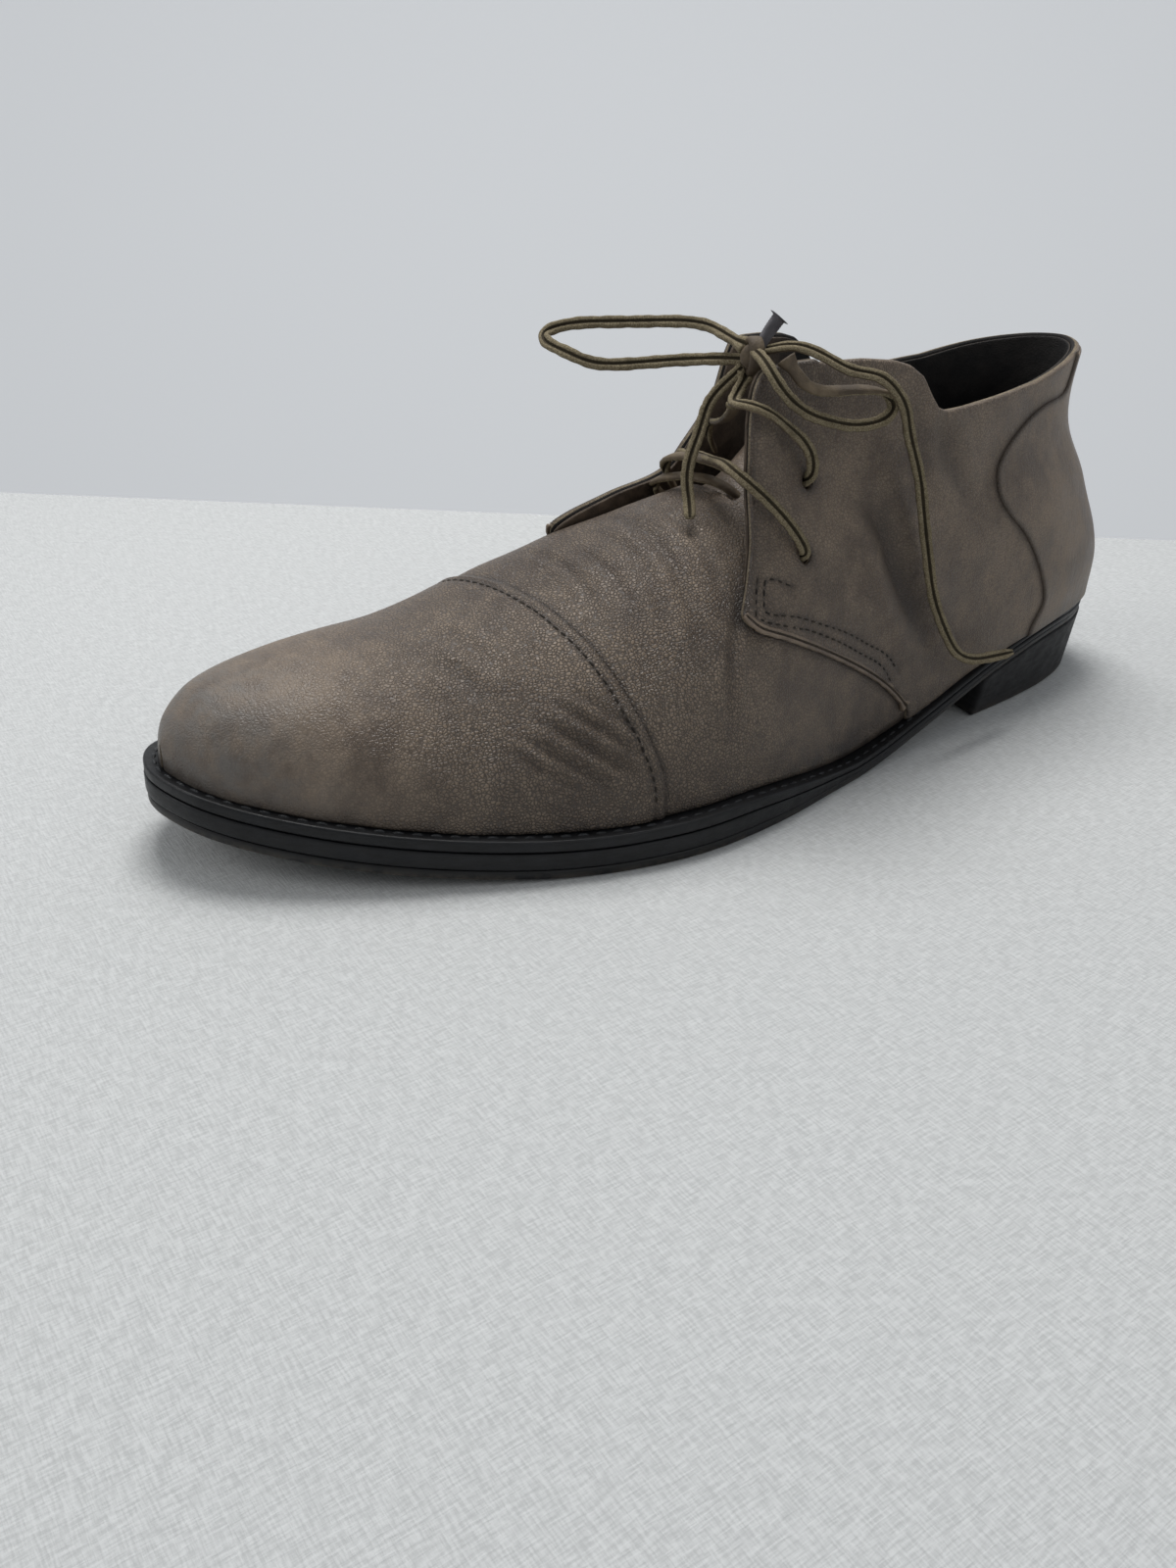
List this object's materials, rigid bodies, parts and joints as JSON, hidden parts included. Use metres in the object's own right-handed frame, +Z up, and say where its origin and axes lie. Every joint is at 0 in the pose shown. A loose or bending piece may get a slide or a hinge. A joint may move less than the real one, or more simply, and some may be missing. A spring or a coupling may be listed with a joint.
{
  "type": "lace-up leather shoe",
  "caption": "Low ankle-height lace-up leather shoe for the left foot, with a stitched toe cap, open quarters, leather laces, a projecting welt and a low black heel.",
  "frame": {"origin": "centre of the bounding box in plan, at the floor the shoe stands on", "axes": "+Z up, -Y towards the toe, +Y towards the heel, +X towards the outer (lateral) side of the left foot"},
  "size_m": [0.1081, 0.3132, 0.1206],
  "materials": {
    "taupe_leather": "worn grey-brown grained leather, semi-matte",
    "lining": "matte dark lining",
    "lace_leather": "matte cut leather lace, olive-cream edges",
    "black_edge": "painted edge, satin",
    "black_rubber": "matte grey-black"
  },
  "bodies": {
    "root": {"outsole": "black_edge", "midsole": "black_edge", "welt": "black_edge", "heel": "black_rubber", "insole": "lining", "upper": "taupe_leather", "tongue": "taupe_leather", "lace_bar": "lace_leather", "lace_crossing": "lace_leather", "lace_top": "lace_leather", "lace_knot": "lace_leather", "lace_loop_left": "lace_leather", "lace_loop_right": "lace_leather", "lace_end_long": "lace_leather", "lace_end_short": "lace_leather"}
  },
  "joints": []
}
